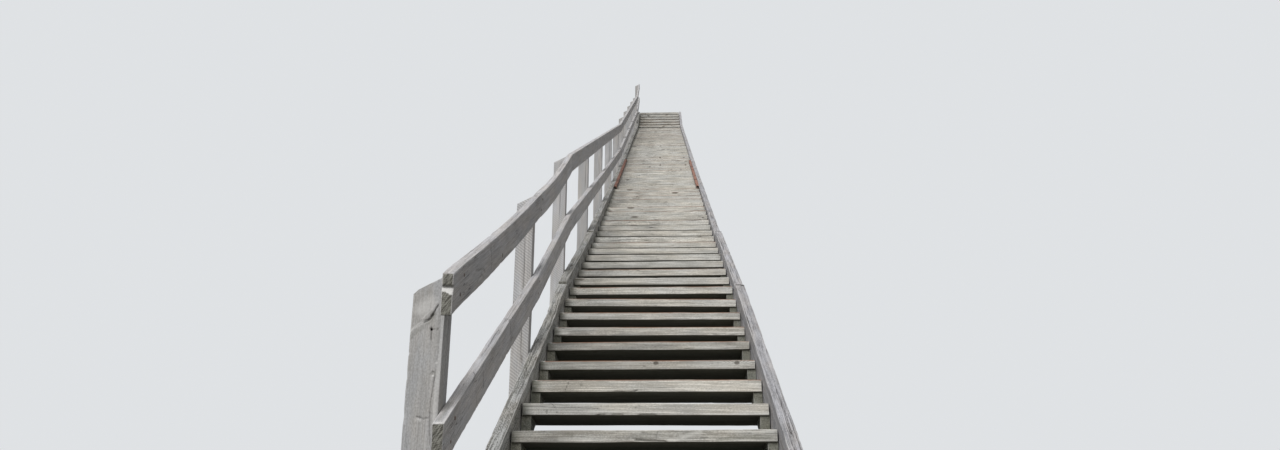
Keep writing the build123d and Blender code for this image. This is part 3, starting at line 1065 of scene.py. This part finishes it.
def treadBlank(number, sawn, stackName):
    settled, marks = (0.0, 1.0, 0.0), []
    if stackName == "footBlanks":
        settled, marks = treads["settled"].get(number, settled), treads["marks"].get(number, [])
    drop, swell, fall = settled
    thick = swell * sawn[2]
    corner = (-sawn[0] / 2, -sawn[1] / 2, -drop - thick)

    def shape(points, grid, size):
        points[:, 2] -= fall * (points[:, 0] - 0.5 * size[0])
        return False

    look = treads | {
        "tone": treads["tones"].get(number, 0.25 * math.sin(5.0 * number)),
        "spacing": treads["spacings"][stackName],
    }
    beam = beamAt(corner, (sawn[0], sawn[1], thick), xWay, yWay, zWay)
    marks = [
        each | {"line": [(s, swell * v) for s, v in each["line"]]} if each["face"] == "near" else each
        for each in marks + treads["endDirt"] + (treads["litter"] if number > treads["lastSwept"] else [])
    ]
    part = timber(beam, look, 700 + number, marks, treads["knots"].get(number, ()), shape)
    return meshPiece(f"treadBlank{number:02d}", [part])


def readNamed(tree, name, kind="FLOAT_VECTOR"):
    return fieldFrom(tree, "GeometryNodeInputNamedAttribute", {"Name": name}, data_type=kind)


def storeAs(geometry, name, value, kind, domain):
    return geometry.through("GeometryNodeStoreNamedAttribute", {"Name": name, "Value": value},
                            data_type=kind, domain=domain)


def switchTo(choice, kind, ifOff, ifOn):
    return choice.through("GeometryNodeSwitch", {1: ifOff, 2: ifOn}, input_type=kind)


randomSockets = {"FLOAT_VECTOR": (0, 1, 0), "FLOAT": (2, 3, 1), "INT": (4, 5, 2)}  # least, most and result


def randomly(seed, step, kind, least, most):
    lowSocket, highSocket, output = randomSockets[kind]
    inputs = {"Seed": seed + step, lowSocket: least, highSocket: most}
    return fieldFrom(seed.socket.id_data, "FunctionNodeRandomValue", inputs, output, data_type=kind)


blankInputs = {"Blanks": "Collection", "Blank Count": 1, "Tone": 0.0, "Seed": 1, "Timber": "Material"}


def layBlanks(tree, given, points, placing, inOrder=None):  # each gets its own tint and stretch of grain
    seed = given["Seed"]
    pick = randomly(seed, 0, "INT", 0, given["Blank Count"] - 1)
    tint = readNamed(tree, "laidTint", "FLOAT")
    if inOrder:
        pick = switchTo(inOrder, "INT", pick, fieldFrom(tree, "GeometryNodeInputIndex"))
        tint = switchTo(inOrder, "FLOAT", tint, readNamed(tree, "tint", "FLOAT"))
    apart = {"Separate Children": True, "Reset Children": True}
    blanks = given["Blanks"].through("GeometryNodeCollectionInfo", apart)
    laid = points.through("GeometryNodeInstanceOnPoints", placing | {
        "Instance": blanks, "Pick Instance": True, "Instance Index": pick,
    })
    ownTint = randomly(seed, 3, "FLOAT", -0.25, 0.25) + given["Tone"]
    slide = randomly(seed, 4, "FLOAT_VECTOR", (-30.0, -0.01, -0.01), (30.0, 0.01, 0.01))
    laid = storeAs(laid, "laidTint", ownTint, "FLOAT", "INSTANCE")
    laid = storeAs(laid, "slide", slide, "FLOAT_VECTOR", "INSTANCE")
    solid = laid.through("GeometryNodeRealizeInstances")
    grain = readNamed(tree, "grain").vector("ADD", {1: readNamed(tree, "slide")})
    solid = storeAs(solid, "grain", grain, "FLOAT_VECTOR", "POINT")
    solid = storeAs(solid, "tint", tint, "FLOAT", "POINT")
    return solid.through("GeometryNodeSetMaterial", {"Material": given["Timber"]})


def buildTreadFlight():
    tree, given, result = nodeGroup("treadFlight", "GeometryNodeTree", blankInputs | {
        "Treads": 10, "First": "Vector", "Going": 0.3, "Riser": 0.17, "In Order": False,
        "Tilt": 0.002, "Thickness": 1.0,
    }, {"Geometry": "Geometry"})
    step = fieldFrom(tree, "ShaderNodeCombineXYZ", {1: given["Going"], 2: given["Riser"]})
    line = given["Treads"].through("GeometryNodeMeshLine", {"Start Location": given["First"], "Offset": step})
    lean = randomly(given["Seed"], 2, "FLOAT_VECTOR", (-1.0, -1.0, -1.0), (1.0, 1.0, 1.0))
    placing = {
        "Rotation": lean.vector("SCALE", {"Scale": given["Tilt"]}),
        "Scale": fieldFrom(tree, "ShaderNodeCombineXYZ", {0: 1.0, 1: 1.0, 2: given["Thickness"]}),
    }
    fill(result["Geometry"], layBlanks(tree, given, line, placing, given["In Order"]))
    return tree


def runTree(name, tree, values, mesh=None):  # the tree's result as a plain mesh object
    piece = bpy.data.objects.new(name, mesh or bpy.data.meshes.new(name))
    sceneObjects.link(piece)
    modifier = piece.modifiers.new(tree.name, "NODES")
    modifier.node_group = tree
    for socket in tree.interface.items_tree:
        if socket.in_out == "INPUT" and socket.name in values:
            modifier[socket.identifier] = values[socket.name]
    bpy.context.view_layer.update()
    graph = bpy.context.evaluated_depsgraph_get()
    finished = piece.evaluated_get(graph)
    result = bpy.data.meshes.new_from_object(finished, preserve_all_data_layers=True, depsgraph=graph)
    piece.modifiers.clear()
    piece.data = result
    return piece


treadFlight = buildTreadFlight()
blankSize = np.ptp(solidsOf("foot_treads")[0], axis=0)
stacks = {
    name: stackOf(name, [treadBlank(number, blankSize, name) for number in range(treads["blanks"])])
    for name in treads["spacings"]
}
for number, flight in enumerate(flights):
    solids = solidsOf(f"{flight}_treads")
    middles = [sum(boxOf(solid)) / 2 for solid in solids]
    step = (middles[-1] - middles[0]) / (len(middles) - 1)
    first = middles[0] + (0.0, 0.0, blankSize[2] / 2)
    piece = runTree(f"{flight}_tread_planks", treadFlight, {
        "Blanks": stacks["plainBlanks" if number else "footBlanks"],
        "Blank Count": treads["blanks"],
        "Treads": len(solids),
        "First": tuple(float(x) for x in first),
        "Going": float(step[1]),
        "Riser": float(step[2]),
        "In Order": number == 0,
        "Tilt": treads["tilt"],
        "Thickness": treads["swelling"].get(flight, 1.0),
        "Tone": treads["flightTones"].get(flight, 0.0),
        "Seed": 40 + number,
        "Timber": materials["treadTimber" if number < 2 else "upperTreadTimber"],
    })
    standsFor(piece, "tread_timber", f"{flight}_treads")
for stack in stacks.values():
    clearStack(stack)
print("treads laid")


# Blocks: split triangles of timber under both ends of every tread

blocks = {
    "blanks": 5,
    "arris": 0.003, "wear": 0.6, "chips": 4.0, "uneven": 0.0012,
    "pith": ((-0.05, 0.05), (-0.05, 0.05)),
    "spacing": (0.07, 0.03, 0.04),
    "cracks": {"count": 0},
    "tip": 0.03,  # share of the front's height that is left at the thin end
    "tones": {"left": 0.0, "right": -1.0},
}


def taperedBlock(points, grid, size):
    height = np.clip(1.0 - points[:, 0] / size[0], blocks["tip"], 1.0)
    points[:, 2] = size[2] - (size[2] - points[:, 2]) * height
    return grid[:, 0] < 0.5 * size[0]


def blockBlank(number, size):
    beam = beamAt((0.0, 0.0, 0.0), tuple(size), yWay, xWay, zWay)
    return meshPiece(f"blockBlank{number}", [timber(beam, blocks, 900 + number, shape=taperedBlock)])


def pointMesh(name, places, fieldName, values):
    mesh = bpy.data.meshes.new(name)
    mesh.from_pydata([tuple(place) for place in places], [], [])
    layer = mesh.attributes.new(fieldName, "FLOAT_VECTOR", "POINT")
    layer.data.foreach_set("vector", np.array(values, dtype=np.float32).ravel())
    return mesh


def buildBlockRow():
    inputs = {"Geometry": "Geometry"} | blankInputs
    tree, given, result = nodeGroup("blockRow", "GeometryNodeTree", inputs, {"Geometry": "Geometry"})
    placing = {"Scale": readNamed(tree, "stretch")}
    fill(result["Geometry"], layBlanks(tree, given, given["Geometry"], placing))
    return tree


blockRow = buildBlockRow()
for side in sides:
    node = f"{side}_tread_blocks"
    solids = solidsOf(node)
    sizes = np.array([np.ptp(solid, axis=0) for solid in solids])
    lengthFirst = sizes[0][[1, 0, 2]]  # its length uphill, thickness and height
    stack = stackOf("blockBlanks", [blockBlank(number, lengthFirst) for number in range(blocks["blanks"])])
    piece = runTree(f"{side}_blocks", blockRow, {
        "Blanks": stack,
        "Blank Count": blocks["blanks"],
        "Tone": blocks["tones"][side],
        "Seed": 60 + (side == "right"),
        "Timber": materials["blockTimber"],
    }, pointMesh(f"{side}Corners", [solid.min(axis=0) for solid in solids], "stretch", sizes / sizes[0]))
    clearStack(stack)
    standsFor(piece, "tread_timber", node)
print("blocks set")


# Nail heads: in the treads over their blocks, and in the rails at every post

nails = {
    "sides": 8,
    "treadHead": 0.0055,
    "railHead": 0.008,
    "height": 0.0018,
    "crown": 0.55,  # width of the head's flat, as a share
    "sunk": 0.0008,
    "fromEnd": 0.024,
    "rows": (0.06, 0.19),  # behind the nosing
    "stray": 0.006,
    "railSpread": 0.022,
    "clear": 0.01,  # of a rail plank's ends
}


def buildNails():
    tree, given, result = nodeGroup("nailHeads", "GeometryNodeTree", {
        "Geometry": "Geometry", "Head Radius": 0.005, "Head Height": 0.002, "Sides": 8, "Steel": "Material",
    }, {"Geometry": "Geometry"})
    head = given["Sides"].through("GeometryNodeMeshCone", {
        "Radius Top": given["Head Radius"] * nails["crown"],
        "Radius Bottom": given["Head Radius"],
        "Depth": given["Head Height"],
    })
    outward = {"Vector": readNamed(tree, "facing")}
    facing = fieldFrom(tree, "FunctionNodeAlignRotationToVector", outward, axis="Z")
    driven = given["Geometry"].through("GeometryNodeInstanceOnPoints", {"Instance": head, "Rotation": facing})
    solid = driven.through("GeometryNodeRealizeInstances")
    fill(result["Geometry"], solid.through("GeometryNodeSetMaterial", {"Material": given["Steel"]}))
    return tree


def treadNails():
    draw = np.random.default_rng(81)
    places = []
    for solid in [solid for flight in flights for solid in solidsOf(f"{flight}_treads")]:
        low, high = boxOf(solid)
        for x in (low[0] + nails["fromEnd"], high[0] - nails["fromEnd"]):
            for row in nails["rows"]:
                shift = draw.uniform(-nails["stray"], nails["stray"], 2)
                places.append((x + shift[0], low[1] + row + shift[1], high[2] - nails["sunk"]))
    return places


def railNails():
    places = []
    nodes = [f"{line}_{stretch}" for line in ("top_rail", "mid_rail") for stretch in rails["spacings"]]
    for beam in [plankOf(solid) for node in nodes for solid in solidsOf(node)]:
        _, run, rise = beam["axes"][0]
        x, start, foot = beam["corner"]
        length, thick, depth = beam["size"]
        for y in postMiddles:
            for side in (-1.0, 1.0):
                at = y + side * nails["railSpread"]
                s = (at - start) / run
                if nails["clear"] < s < length - nails["clear"]:
                    z = foot + s * rise + depth * (0.5 + 0.2 * side)
                    places.append((x + thick - nails["sunk"], at, z))
    return places


nailHeads = buildNails()
for name, places, facing, radius in (
    ("tread_nails", treadNails(), zWay, nails["treadHead"]),
    ("rail_nails", railNails(), xWay, nails["railHead"]),
):
    standsFor(runTree(name, nailHeads, {
        "Head Radius": radius,
        "Head Height": nails["height"],
        "Sides": nails["sides"],
        "Steel": materials["nailSteel"],
    }, pointMesh(f"{name}Places", places, "facing", [facing] * len(places))), "rusty_steel")
print("nails driven")


# Stage: pale floor, pale surround, a low soft sun from the left of the camera

stage = {
    "floorSize": 400.0,
    "floorSeen": (0.78, 0.78, 0.77),
    "floorUnseen": (0.05, 0.05, 0.045),  # what the floor throws back up at the stair
    "surround": (0.74, 0.76, 0.78),
    "ambient": 0.47,
    "sunStrength": 2.75,
    "sunAngle": 45.0,  # degrees across
    "sunHeight": 38.0,  # degrees above level
    "sunTurn": 19.0,  # degrees left of straight behind the camera
}


def layFloor():
    half = stage["floorSize"] / 2
    corners = [(-half, -half, 0), (half, -half, 0), (half, half, 0), (-half, half, 0)]
    mesh = bpy.data.meshes.new("studioFloor")
    mesh.from_pydata(corners, [], [(0, 1, 2, 3)])
    material, tree, surface = newMaterial("studioFloor")
    seen = fieldFrom(tree, "ShaderNodeLightPath", output="Is Camera Ray")
    fill(surface["Base Color"], blend(seen, stage["floorUnseen"], stage["floorSeen"]))
    fill(surface["Roughness"], 0.9)
    fill(surface["Specular IOR Level"], 0.0)
    mesh.materials.append(material)
    floor = bpy.data.objects.new("studioFloor", mesh)
    sceneObjects.link(floor)


def lightSky():
    world = bpy.data.worlds.new("studioWorld")
    bpy.context.scene.world = world
    world.use_nodes = True
    tree = world.node_tree
    tree.nodes.clear()
    rays = addNode(tree, "ShaderNodeLightPath").outputs
    seen, glossy, through = (Field(rays[f"Is {kind} Ray"]) for kind in ("Camera", "Glossy", "Transmission"))
    addNode(tree, "ShaderNodeOutputWorld", {0: fieldFrom(tree, "ShaderNodeMixShader", {
        0: seen.calc("MAXIMUM", glossy.calc("MAXIMUM", through)),
        1: fieldFrom(tree, "ShaderNodeBackground", {"Color": (1.0, 1.0, 1.0), "Strength": stage["ambient"]}),
        2: fieldFrom(tree, "ShaderNodeBackground", {"Color": stage["surround"], "Strength": 1.0}),
    })})


def hangSun():
    sun = bpy.data.lights.new("softSun", "SUN")
    sun.energy = stage["sunStrength"]
    sun.angle = math.radians(stage["sunAngle"])
    lamp = bpy.data.objects.new("softSun", sun)
    lamp.rotation_euler = (math.radians(90.0 - stage["sunHeight"]), 0.0, math.radians(-stage["sunTurn"]))
    sceneObjects.link(lamp)


layFloor()
lightSky()
hangSun()


# Camera: standing on the lowest treads, looking up the run

viewpoint = {
    "place": (0.749, -3.178, 0.497),
    "pitch": 20.6,  # degrees above level
    "turn": 1.40,  # degrees towards the handrail
    "focal": 28.8,  # millimetres on a 36 mm frame
}
camera = bpy.data.cameras.new("standingView")
camera.lens = viewpoint["focal"]
camera.sensor_width = 36.0
camera.clip_end = 500.0
eye = bpy.data.objects.new("standingView", camera)
eye.location = viewpoint["place"]
eye.rotation_euler = (math.radians(90.0 + viewpoint["pitch"]), 0.0, math.radians(viewpoint["turn"]))
sceneObjects.link(eye)
bpy.context.scene.camera = eye
bpy.context.scene.view_settings.view_transform = "Standard"
print("stage and camera ready")
